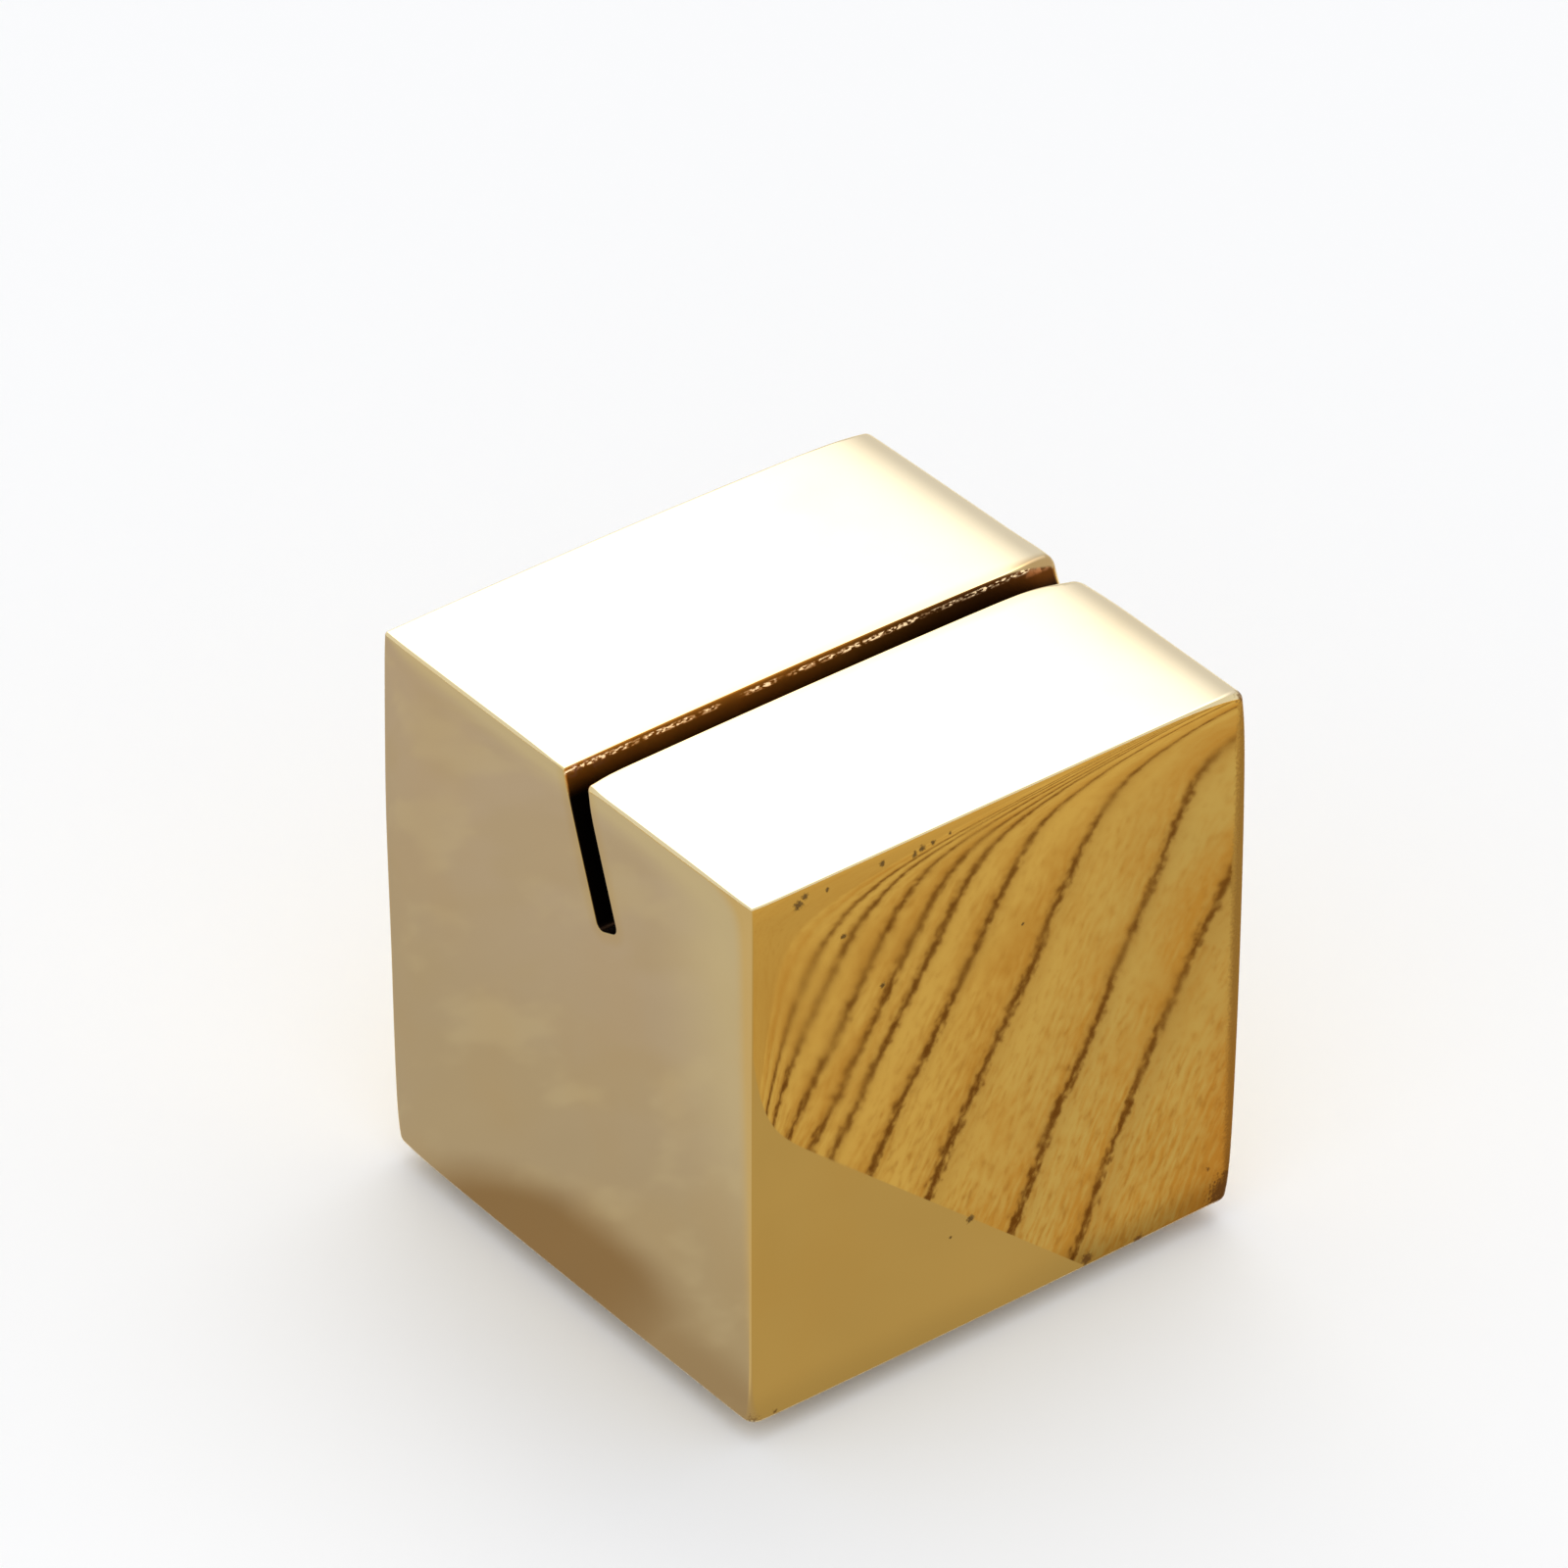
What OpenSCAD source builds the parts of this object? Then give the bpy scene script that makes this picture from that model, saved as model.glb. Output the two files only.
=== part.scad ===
// Place card holder: a hand-polished cast brass block with one leaning card slot, on a felt pad.
// +X runs along the slot, the front face looks along -Y and +Z is up. The origin is on the table,
// under the middle of the block.

/* [Block] */
// Width of the block, along the slot
block_w = 30; // [20:0.5:60]
// Depth of the block, front to back
block_d = 29.3; // [20:0.1:60]
// Height of the block above its pad
block_h = 30.7; // [20:0.1:60]
// Radius of the crown that polishing leaves on the four upright faces and the top
crown_r = 500; // [250:10:2000]

/* [Edges] */
// Rounding of the edges round the front face, which are crisp
front_edge_r = 0.4; // [0.2:0.05:1.5]
// Rounding of the other edges, which the wheel has worn softer
back_edge_r = 0.6; // [0.2:0.05:2]

/* [Card slot] */
// Width of the slot between its two walls
slot_w = 1.55; // [0.8:0.05:3]
// Depth of the slot along its own lean, from the top of the crown to the floor
slot_depth = 8; // [3:0.1:12]
// Angle that the slot leans back from upright
slot_lean = 20; // [0:0.5:30]
// How far the middle of the mouth lies in front of the middle of the block
slot_forward = 0.85; // [0:0.05:3]
// Rounding of the two corners of the slot's floor
slot_floor_r = 0.55; // [0.1:0.05:1]
// Width of the eased lip on each side of the mouth
lip_ease = 0.3; // [0.1:0.05:1]

/* [Base pad] */
// Thickness of the felt
pad_t = 1; // [0.5:0.1:3]
// Margin that the pad leaves inside the block's outline
pad_inset = 2; // [1:0.1:5]
// Rounding of the pad's corners
pad_corner_r = 2; // [0.5:0.1:5]

/* [Hidden] */

BRASS = [0.80, 0.66, 0.36];
FELT = [0.09, 0.09, 0.10];

// Overrun that carries every cut past the surface it opens on
over = 1;
// Segments of a full turn, and of a full crown circle, of which a face shows only a short arc
TURN_FN = 96;
CROWN_FN = 720;

// The block is worked out about its own middle, and half holds its half sizes
half = [block_w, block_d, block_h] / 2;
// A length that reaches past every corner from the middle
reach = norm([block_w, block_d, block_h]);

// Crowned faces, as [direction, direction of one side, distance out]. The base is ground flat, so it
// isn't among them.
FACE_CROWNS = [
    for (dir = [[-1, 0, 0], [1, 0, 0], [0, -1, 0], [0, 1, 0], [0, 0, 1]])
        [dir, [dir.y, dir.z, dir.x], abs(dir * half)]
];
// Angles of the polished bands that round an edge, from one face to the other
EDGE_BANDS = [45];

// Unit vector along one axis, with a sign
function along(axis, sign) = [for (k = [0:2]) k == axis ? sign : 0];

// How far a crown has fallen at a distance from its peak
function crown_drop(x) = crown_r - sqrt(crown_r * crown_r - x * x);

// Distance from one axis to the edge or corner that the signs in sides name
function aside(sides, axis) = norm([for (k = [0:2]) k == axis ? 0 : sides[k] * half[k]]);

// Where the crowned faces named in sides would meet if nothing were eased
function sharp_point(sides) =
    [for (k = [0:2]) sides[k] * (half[k] - (k == 2 && sides[k] < 0 ? 0 : crown_drop(aside(sides, k))))];

// Distance from the middle to the plane that faces dir and touches a ball of radius r in that edge
function eased_out(sides, dir, r) = (sharp_point(sides) - r * sides) * dir + r;

// Every edge and corner that touches the front face is crisp
function edge_r(sides) = sides.y < 0 ? front_edge_r : back_edge_r;

// Each edge is eased by its bands, as [direction the band faces, direction the edge runs, distance out]
EDGE_EASES = [
    for (pair = [[0, 1], [0, 2], [1, 2]], a = [-1, 1], b = [-1, 1])
        let (first = along(pair[0], a), second = along(pair[1], b), sides = first + second)
        for (turn = EDGE_BANDS)
            let (dir = cos(turn) * first + sin(turn) * second)
            [dir, cross(first, second), eased_out(sides, dir, edge_r(sides))]
];

// Each corner is eased by one flat across the space diagonal, as [direction, distance out]
CORNER_EASES = [
    for (a = [-1, 1], b = [-1, 1], c = [-1, 1])
        let (sides = [a, b, c], dir = sides / norm(sides))
        [dir, eased_out(sides, dir, edge_r(sides))]
];

// An edge falls away along its length by what both its crowned faces fall, so it bows more than they do
function bow_r(dir) = crown_r / (abs(dir.x) + abs(dir.y) + max(dir.z, 0));

// Turns what points along +Z to face dir, and what runs along +X to run along the given direction
module facing(dir, run) {
    side = cross(dir, run);
    multmatrix([for (k = [0:2]) [run[k], side[k], dir[k], 0]])
        children();
}

// A slice of a large ball that crowns the face at distance out
module crown_ball(dir, run, out) {
    facing(dir, run)
        translate([0, 0, out - crown_r])
            rotate([90, 0, 0])
                rotate_extrude($fn = CROWN_FN)
                    intersection() {
                        translate([0, -reach])
                            square([crown_r + over, 2 * reach]);
                        circle(crown_r, $fn = CROWN_FN);
                    }
}

// A large drum, bowed along the edge and flat across it, that eases the edge at distance out
module bow_drum(dir, run, out) {
    facing(dir, run)
        translate([0, 0, out - bow_r(dir)])
            rotate([90, 0, 0])
                cylinder(r = bow_r(dir), h = 2 * reach, center = true, $fn = CROWN_FN);
}

// A round plug whose flat end eases a corner at distance out
module corner_plug(dir, out) {
    rotate([0, acos(dir.z), atan2(dir.y, dir.x)])
        translate([0, 0, -reach])
            cylinder(r = reach, h = reach + out, $fn = TURN_FN);
}

// The solid block before its slot: what its flat base, crowns, drums and plugs have in common
module crowned_block() {
    intersection() {
        translate([-reach, -reach, -half.z])
            cube([2 * reach, 2 * reach, 2 * reach]);
        intersection_for(crown = FACE_CROWNS)
            crown_ball(crown[0], crown[1], crown[2]);
        intersection_for(ease = EDGE_EASES)
            bow_drum(ease[0], ease[1], ease[2]);
        intersection_for(ease = CORNER_EASES)
            corner_plug(ease[0], ease[1]);
    }
}

// The floor's rounding can't pass half the slot's width
floor_r = min(slot_floor_r, slot_w / 2);

// Section of the slot across its length, with its mouth's middle at zero and its floor below
module slot_section() {
    translate([-slot_w / 2, floor_r - slot_depth])
        square([slot_w, slot_depth - floor_r + over]);
    translate([floor_r - slot_w / 2, -slot_depth])
        square([slot_w - 2 * floor_r, slot_depth]);
    for (side = [-1, 1])
        translate([side * (slot_w / 2 - floor_r), floor_r - slot_depth])
            circle(floor_r, $fn = TURN_FN);
}

// The card slot runs from end to end of the block and leans back from its floor
module card_slot() {
    translate([0, -slot_forward, half.z])
        rotate([-slot_lean, 0, 0])
            rotate([90, 0, 90])
                linear_extrude(block_w + 2 * over, center = true)
                    slot_section();
}

// The wheel eases both lips of the mouth with a V that follows the top's crown from end to end
module lip_ease_cut() {
    mouth = slot_w / 2 / cos(slot_lean) + lip_ease;
    translate([0, 0, half.z - crown_r])
        rotate([90, 0, 0])
            rotate_extrude($fn = CROWN_FN)
                polygon([
                    [crown_r - mouth, slot_forward],
                    [crown_r + over, slot_forward - mouth - over],
                    [crown_r + over, slot_forward + mouth + over]
                ]);
}

// Brass block with its card slot, ground flat on the base where the pad is glued
module block() {
    color(BRASS)
        translate([0, 0, pad_t + half.z])
            difference() {
                crowned_block();
                card_slot();
                lip_ease_cut();
            }
}

// Felt pad under the block, a rounded rectangle set in from the block's outline
module base_pad() {
    pad_w = block_w - 2 * pad_inset;
    pad_d = block_d - 2 * pad_inset;
    color(FELT)
        linear_extrude(pad_t) {
            square([pad_w - 2 * pad_corner_r, pad_d], center = true);
            square([pad_w, pad_d - 2 * pad_corner_r], center = true);
            for (x = [-1, 1], y = [-1, 1])
                translate([x * (pad_w / 2 - pad_corner_r), y * (pad_d / 2 - pad_corner_r)])
                    circle(pad_corner_r, $fn = TURN_FN);
        }
}

block();
base_pad();
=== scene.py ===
# %% [markdown]
# # A polished brass place card holder
#
# A small block of solid brass stands on a table and holds a place card in one slot along its top.
# Its real size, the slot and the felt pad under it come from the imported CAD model, which this
# script loads as a fixed frame. What is added here is the look: faces that hand polishing has left
# slightly crowned, crisp and worn edges, the dark inside of the slot, and the felt.

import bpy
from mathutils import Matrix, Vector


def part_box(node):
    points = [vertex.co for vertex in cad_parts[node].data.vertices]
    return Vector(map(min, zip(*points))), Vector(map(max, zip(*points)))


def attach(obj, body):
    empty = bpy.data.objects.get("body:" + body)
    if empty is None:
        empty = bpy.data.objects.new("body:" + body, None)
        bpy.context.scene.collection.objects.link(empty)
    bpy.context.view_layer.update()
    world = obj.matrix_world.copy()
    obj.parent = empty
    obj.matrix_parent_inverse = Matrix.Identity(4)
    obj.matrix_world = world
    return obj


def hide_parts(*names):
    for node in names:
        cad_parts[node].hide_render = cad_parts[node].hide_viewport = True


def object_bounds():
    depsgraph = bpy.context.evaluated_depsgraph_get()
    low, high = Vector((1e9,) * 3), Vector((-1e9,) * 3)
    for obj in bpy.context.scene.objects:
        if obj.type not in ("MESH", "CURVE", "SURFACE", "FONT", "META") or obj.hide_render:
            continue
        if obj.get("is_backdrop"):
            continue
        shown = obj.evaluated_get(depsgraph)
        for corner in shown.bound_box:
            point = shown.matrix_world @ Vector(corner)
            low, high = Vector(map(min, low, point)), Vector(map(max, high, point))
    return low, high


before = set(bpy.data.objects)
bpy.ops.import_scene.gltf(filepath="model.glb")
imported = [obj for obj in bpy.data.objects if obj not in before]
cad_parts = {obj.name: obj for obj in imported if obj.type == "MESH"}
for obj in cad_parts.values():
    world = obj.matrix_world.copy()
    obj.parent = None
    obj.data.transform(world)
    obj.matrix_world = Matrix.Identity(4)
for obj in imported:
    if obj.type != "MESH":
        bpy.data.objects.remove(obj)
cad_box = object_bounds()
block_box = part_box("block")
pad_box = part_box("base_pad")
print("nodes:", sorted(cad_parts))

# %% Tools of the lesson
import math

import bpy
import numpy as np
from mathutils import Matrix, Vector

MM = 0.001

# %% [markdown]
# ## The camera
#
# A picture of a small thing is usually taken with a long lens from about arm's length. The edges of
# such a block run nearly parallel in the picture, and how far they still draw together gives the
# distance. The camera is placed by the direction it looks back from, turned from the front and
# raised above the table, and by the point that it is aimed at.

# %% Camera
AZIMUTH = math.radians(-38.02)
ELEVATION = math.radians(35.07)
ROLL = math.radians(0.23)
DISTANCE = 502.1 * MM
AIM = Vector((1.36, 3.90, 21.57)) * MM
FOCAL_LENGTH = 238.4


def camera_axes(azimuth, elevation, roll):
    """The camera's right, up and back directions: back is the spherical direction of the two
    angles, right lies level before the roll, and the roll turns right towards up."""
    level = math.cos(elevation)
    back = Vector((math.sin(azimuth) * level, -math.cos(azimuth) * level, math.sin(elevation)))
    right = Vector((math.cos(azimuth), math.sin(azimuth), 0))
    up = back.cross(right)
    rolled_right = right * math.cos(roll) + up * math.sin(roll)
    rolled_up = up * math.cos(roll) - right * math.sin(roll)
    return rolled_right, rolled_up, back


camera_data = bpy.data.cameras.new("camera")
camera_data.lens = FOCAL_LENGTH
camera_data.clip_start = 10 * MM
camera = bpy.data.objects.new("camera", camera_data)
bpy.context.scene.collection.objects.link(camera)
right, up, back = camera_axes(AZIMUTH, ELEVATION, ROLL)
turned = Matrix((right, up, back)).transposed().to_4x4()
camera.matrix_world = Matrix.Translation(AIM + back * DISTANCE) @ turned
bpy.context.scene.camera = camera
bpy.context.scene.view_settings.view_transform = "Standard"
print("camera at", tuple(round(v / MM, 1) for v in camera.matrix_world.translation), "mm")

# %% [markdown]
# ## Spacing that tightens at the ends
#
# The block's faces are nearly flat and need few points, but its edges are rounded by a tenth of a
# millimetre, and a mirror finish shows every kink there. A Bevel modifier would cut all edges
# alike. Here the whole skin is worked out by formula, so its rows of points simply crowd together
# towards each edge, in cells that shrink by a steady factor.

# %% Graded spacing
ROUND_CELLS = 64
ACROSS_CELLS = 44
ALONG_CELLS = 84
FINEST_CELL = 0.03 * MM
HALVINGS = 60


def graded(length, cells, finest=FINEST_CELL):
    """Distances from 0 to length in cells that grow by a steady factor from both ends, the finest
    at the ends. The factor is found by halving its range until the cells add up to the length."""
    step = np.minimum(np.arange(cells), np.arange(cells)[::-1])
    low, high = 0.5, 2.0
    for _ in range(HALVINGS):
        factor = (low + high) / 2
        if min(finest, length / cells) * (factor**step).sum() < length:
            low = factor
        else:
            high = factor
    return np.concatenate([[0], np.cumsum(factor**step)]) * length / (factor**step).sum()


low = np.array(block_box[0])
high = np.array(block_box[1])
middle = (low + high) / 2
half = (high - low) / 2
first_cells = np.diff(graded(high[0] - low[0], ALONG_CELLS))[:6]
print("first cells along the slot, mm:", first_cells.round(6) / MM)

# %% [markdown]
# ## The slot
#
# The slot is cut right across the block and leans back, so that a card faces a seated guest. A
# Boolean cut would leave long thin faces at its lips, which spoil what they mirror. So the slot is
# given by a formula, the distance out of its channel, in the slot's own directions: one along its
# lean, one straight across its two walls.

# %% Slot
SLOT_WIDTH = 1.55 * MM
SLOT_DEPTH = 8 * MM
SLOT_LEAN = math.radians(20)
SLOT_FORWARD = 0.85 * MM
SLOT_FLOOR_RADIUS = 0.42 * MM

lean_up = np.array([0, math.sin(SLOT_LEAN), math.cos(SLOT_LEAN)])
lean_across = np.array([0, math.cos(SLOT_LEAN), -math.sin(SLOT_LEAN)])
mouth = np.array([0, -SLOT_FORWARD, high[2]])


def past_slot(points):
    """Distance out of the slot's channel, negative inside it. The channel is a long box, open at
    the top, whose two floor corners are rounded."""
    aside = np.abs((points - mouth) @ lean_across) - (SLOT_WIDTH / 2 - SLOT_FLOOR_RADIUS)
    below = -(points - mouth) @ lean_up - (SLOT_DEPTH - SLOT_FLOOR_RADIUS)
    outside = np.hypot(np.maximum(aside, 0), np.maximum(below, 0))
    return outside + np.minimum(np.maximum(aside, below), 0) - SLOT_FLOOR_RADIUS


print("the slot's floor lies", round((mouth - SLOT_DEPTH * lean_up)[2] / MM, 2), "mm above the table")

# %% [markdown]
# ## Pressing points onto a formula
#
# A surface can be given as all the places where a distance formula is zero. A point near it is
# brought onto it in a few steps: look how far off it is and how steeply that changes, and go back
# along the slope. The slope also tells which way the surface faces, more exactly than any average
# over the faces of a mesh, and a clean reflection needs that.

# %% Slope and pressing
SLOPE_STEP = 0.002 * MM
PRESS_ROUNDS = 12


def slope(points, formula):
    """Slope of a formula at each point, from its change over a small step both ways on each axis."""
    return np.stack([
        (formula(points + SLOPE_STEP * axis) - formula(points - SLOPE_STEP * axis)) / (2 * SLOPE_STEP)
        for axis in np.eye(3)
    ], axis=1)


def pressed(points, formula):
    """Points moved onto the surface where the formula is zero, and the directions it faces there.
    Each round moves every point back along the slope by the formula over the slope's square."""
    for _ in range(PRESS_ROUNDS):
        steepness = slope(points, formula)
        points = points - steepness * (formula(points) / (steepness**2).sum(1))[:, None]
    steepness = slope(points, formula)
    return points, steepness / np.linalg.norm(steepness, axis=1)[:, None]


# %% [markdown]
# ## The block as a bent brick
#
# The block is cast or sawn from solid brass, the slot is cut, and then every face is polished by
# hand. A box with a Boolean slot and a Bevel would give flat faces, and in a mirror finish flat
# faces look dead at once. So think of a bar of clay, bent into a U round the slot. Three numbers
# place a point in it: one along the U, one from its outside to the slot, and one along the slot.

# %% The bent brick
def path(corners, cells):
    """Points along straight runs from corner to corner, with the graded spacing on each run."""
    runs = []
    for start, end in zip(corners[:-1], corners[1:]):
        length = np.linalg.norm(end - start)
        share = graded(length, cells) / length
        runs.append(start + share[:, None] * (end - start))
    return np.concatenate([run[:-1] for run in runs] + [runs[-1][-1:]])


def bent_brick():
    """All points of the bent brick. The outer path runs down the back, along the base and up the
    front, the inner one down the slot's rear wall, along its round floor and up its front wall. A
    point is a straight mix of both paths, carried along x."""
    outer = path([np.array(corner) for corner in [
        (high[1], high[2]), (high[1], low[2]), (low[1], low[2]), (low[1], high[2]),
    ]], ROUND_CELLS)
    wall = SLOT_WIDTH / 2 / math.cos(SLOT_LEAN)
    floor = [mouth + side * SLOT_WIDTH / 2 * lean_across - SLOT_DEPTH * lean_up for side in (1, -1)]
    inner = path([
        mouth[1:] + [wall, 0], floor[0][1:], floor[1][1:], mouth[1:] - [wall, 0],
    ], ROUND_CELLS)
    inner = pressed(np.insert(inner, 0, 0, axis=1), past_slot)[0][:, 1:]
    span = np.linalg.norm(outer - inner, axis=1).mean()
    share = (graded(span, ACROSS_CELLS) / span)[None, :, None]
    section = outer[:, None, :] * (1 - share) + inner[:, None, :] * share
    x = low[0] + graded(high[0] - low[0], ALONG_CELLS)
    shape = section.shape[:2] + x.shape
    return np.stack([
        np.broadcast_to(x, shape),
        np.broadcast_to(section[:, :, None, 0], shape),
        np.broadcast_to(section[:, :, None, 1], shape),
    ], axis=-1)


# %% [markdown]
# ## One closed skin
#
# Only the six outer sides of the brick are surface. Two sides that meet have the same points along
# their border, so giving each point one number joins them without any merging by distance, and the
# skin is closed. Its volume is positive only if its faces look outwards, which settles their order.

# %% Skin
def quads(ids):
    """Four-cornered faces of a grid of point numbers, as rows of four."""
    return np.stack([ids[:-1, :-1], ids[1:, :-1], ids[1:, 1:], ids[:-1, 1:]], axis=-1).reshape(-1, 4)


def volume(points, faces):
    """Volume inside a closed skin of quads, summed from the corner triple products of its two
    triangles each. It is positive only if the faces look outwards."""
    a, b, c, d = (points[faces[:, k]] for k in range(4))
    return (a * (np.cross(b, c) + np.cross(c, d))).sum() / 6


def skin(brick):
    """The points and faces of the brick's six sides, with each shared point kept once and the faces
    looking outwards."""
    ids = np.arange(brick[..., 0].size).reshape(brick.shape[:3])
    faces = np.concatenate([
        quads(ids[0]), quads(ids[-1])[:, ::-1],
        quads(ids[:, 0])[:, ::-1], quads(ids[:, -1]),
        quads(ids[:, :, 0]), quads(ids[:, :, -1])[:, ::-1],
    ])
    used, faces = np.unique(faces, return_inverse=True)
    points = brick.reshape(-1, 3)[used]
    faces = faces.reshape(-1, 4)
    return points, faces if volume(points, faces) > 0 else faces[:, ::-1]


brick_points, brick_faces = skin(bent_brick())
print("block skin:", len(brick_points), "points,", len(brick_faces), "faces")

# %% [markdown]
# ## Crowned faces, rolled borders and eased edges
#
# A polishing wheel takes more metal near an edge than in the middle of a face. Each face is a very
# shallow dome, and some borders roll over in their last few millimetres. Both show only in what the
# face mirrors, and there they show at once. The edges round the front face were left crisp and the
# others are worn softer, most of all the top's right edge, the lower part of the edge between the
# left face and the back, and the edges round the base. Two corners of the slot's mouth are blunted.
#
# The shape is one formula that is zero on the skin: the signed distance past each face and into the
# slot, and the largest of them, rounded where they meet. The brick's points are pressed onto it.

# %% Measures of the shape
CROWN_RADIUS = 1000 * MM
# Each side's axis and sign
FACES = {
    "left": (0, -1), "right": (0, 1), "front": (1, -1),
    "back": (1, 1), "base": (2, -1), "top": (2, 1),
}
# A rolled border: the face, the edge it rolls over to, how far it falls there, and how wide it is.
# A fall below zero is a border that stands up a little.
ROLLED_BORDERS = [
    ("front", "top", 0.14 * MM, 0.8 * MM),
    ("front", "left", 0.12 * MM, 0.7 * MM),
    ("front", "right", -0.04 * MM, 2.0 * MM),
    ("top", "right", 0.20 * MM, 1.3 * MM),
    ("left", "top", 0.06 * MM, 0.7 * MM),
    ("left", "front", 0.06 * MM, 0.7 * MM),
    ("left", "back", 0.08 * MM, 0.8 * MM),
]
CRISP_EDGE = 0.10 * MM
WORN_EDGE = 0.18 * MM
WORN_FROM = 6 * MM
LIP_EDGE = 0.07 * MM
LIP_REACH = 1.8 * MM
# Blunted corners of the mouth: which wall and end of the slot, the added rounding, and its reach
BLUNTED = [(-1, 1, 0.9 * MM, 1.5 * MM), (-1, -1, 0.25 * MM, 0.8 * MM)]
# Wear of the edge between the top and the right face
RIGHT_WEAR = 0.6 * MM
RIGHT_REACH = 1.5 * MM
# Wear of the edges round the base, which slide over tables
BASE_WEAR = 0.65 * MM
BASE_REACH = 1.2 * MM
# Wear of the edge between the left face and the back, from none at one height to all at another
BACK_WEAR = 0.48 * MM
BACK_REACH = 1.5 * MM
BACK_HEIGHTS = (23 * MM, 11 * MM)


# %% The formula of the shape
def past_face(points, name):
    """Distance past the plane of one side of the block's box, negative inside."""
    axis, sign = FACES[name]
    return sign * (points[:, axis] - middle[axis]) - half[axis]


def past_skin(points, name):
    """Distance past one polished face: the plane, lowered by a dome, the squared distance from the
    face's middle over twice the crown's radius, and by every rolled border, which fades from its
    edge as a falling exponential. The base is ground flat."""
    away = past_face(points, name)
    if name != "base":
        axis = FACES[name][0]
        others = [k for k in range(3) if k != axis]
        away = away + ((points - middle)[:, others] ** 2).sum(1) / (2 * CROWN_RADIUS)
        for face, edge, fall, width in ROLLED_BORDERS:
            if face == name:
                away = away + fall * np.exp(past_face(points, edge) / width)
    return away


def smooth(share):
    """0 up to 0, 1 from 1, and between them three squares less two cubes of the share."""
    share = np.clip(share, 0, 1)
    return share**2 * (3 - 2 * share)


def near(points, names, reach):
    """1 where the named sides meet, falling off as an exponential of the distances inside them."""
    inside = sum(past_face(points, name) for name in names)
    return np.minimum(np.exp(inside / reach), 1)


def edge_radius(points):
    """Rounding at each place: crisp at the front face and softer further back, with the wear of the
    three worn places added. At the slot's lips it is narrow, and larger again round the blunted
    corners of its mouth."""
    radius = CRISP_EDGE + (WORN_EDGE - CRISP_EDGE) * smooth(-past_face(points, "front") / WORN_FROM)
    radius = radius + RIGHT_WEAR * near(points, ["right", "top"], RIGHT_REACH)
    radius = radius + BASE_WEAR * near(points, ["base"], BASE_REACH)
    none, full = BACK_HEIGHTS
    lower = smooth((none - points[:, 2]) / (none - full))
    radius = radius + BACK_WEAR * near(points, ["left", "back"], BACK_REACH) * lower
    near_slot = np.exp(-((past_slot(points) / LIP_REACH) ** 2))
    radius = radius + (LIP_EDGE - radius) * near_slot
    for wall, end, added, reach in BLUNTED:
        corner = mouth + [end * half[0], wall * SLOT_WIDTH / 2, 0]
        away = ((points - corner) ** 2).sum(1)
        radius = radius + added * np.exp(-away / (2 * reach**2))
    return radius


def past_block(points):
    """Distance past the finished block: the largest distance past its faces and into its slot. Where
    two or three of them are within the edge's radius, the root of the sum of their squares rounds
    the edge or corner."""
    distances = np.stack([past_skin(points, name) for name in FACES] + [-past_slot(points)])
    radius = edge_radius(points)
    raised = distances + radius
    return np.sqrt((np.maximum(raised, 0) ** 2).sum(0)) + np.minimum(raised.max(0), 0) - radius


block_points, block_normals = pressed(brick_points, past_block)
print("off the surface at most, mm:", abs(past_block(block_points)).max() / MM)

# %% [markdown]
# ## From points to an object
#
# The points already hold every place in the frame, so each object stays at the origin, unturned and
# unscaled. Smooth shading alone would average faces of very unequal size round each edge, so the
# directions that the formula gave are kept as the mesh's own normals.

# %% The polished block
def new_piece(name, points, faces, normals):
    """A smooth mesh object at the origin, with its place in its points and the given normals."""
    mesh = bpy.data.meshes.new(name)
    mesh.from_pydata(points, [], faces.tolist())
    mesh.shade_smooth()
    mesh.normals_split_custom_set_from_vertices(normals)
    piece = bpy.data.objects.new(name, mesh)
    bpy.context.scene.collection.objects.link(piece)
    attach(piece, "root")
    print(name, "holds", round(volume(points, faces) / MM**3), "cubic mm")
    return piece


block = new_piece("polished_block", block_points, brick_faces, block_normals)
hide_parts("block")

# %% [markdown]
# ## The felt pad
#
# A pad of pressed felt is glued under the block, so that the brass neither scratches the table nor
# slides. It is die-cut from sheet, so its corners are round in plan and its rim is a little soft.
# The same two steps make it: a flat brick of points, and a formula that it is pressed onto.

# %% Felt pad
PAD_CORNER = 2 * MM
PAD_RIM = 0.3 * MM
PAD_CELLS = (72, 72, 12)
# The cut rim wanders in this many waves round the pad, each of this height
RIM_WAVES = (7, 16, 29)
RIM_WAVE_HEIGHT = 0.01 * MM

pad_low = np.array(pad_box[0])
pad_high = np.array(pad_box[1])
pad_middle = (pad_low + pad_high) / 2
pad_half = (pad_high - pad_low) / 2


def flat_brick(low, high, cells):
    """All points of a straight brick between two corners, with the graded spacing on each axis."""
    axes = [start + graded(end - start, count) for start, end, count in zip(low, high, cells)]
    return np.stack(np.meshgrid(*axes, indexing="ij"), axis=-1)


def past_pad(points):
    """Distance past the pad. In plan it is the distance past a rectangle, set in by the corner's
    radius, less that radius. This and the distances past both sides are joined by a rounded rim,
    and three long waves let the cut rim wander by a few hundredths of a millimetre."""
    inner = np.abs(points - pad_middle)[:, :2] - (pad_half[:2] - PAD_CORNER)
    outline = np.hypot(*np.maximum(inner, 0).T) + np.minimum(inner.max(1), 0) - PAD_CORNER
    turn = np.arctan2(points[:, 1], points[:, 0])
    wander = sum(RIM_WAVE_HEIGHT * (1 + np.sin(count * turn + count)) for count in RIM_WAVES)
    sides = np.abs(points[:, 2] - pad_middle[2]) - pad_half[2]
    raised = np.maximum(np.stack([outline + wander, sides]) + PAD_RIM, 0)
    return np.sqrt((raised**2).sum(0)) - PAD_RIM


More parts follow.
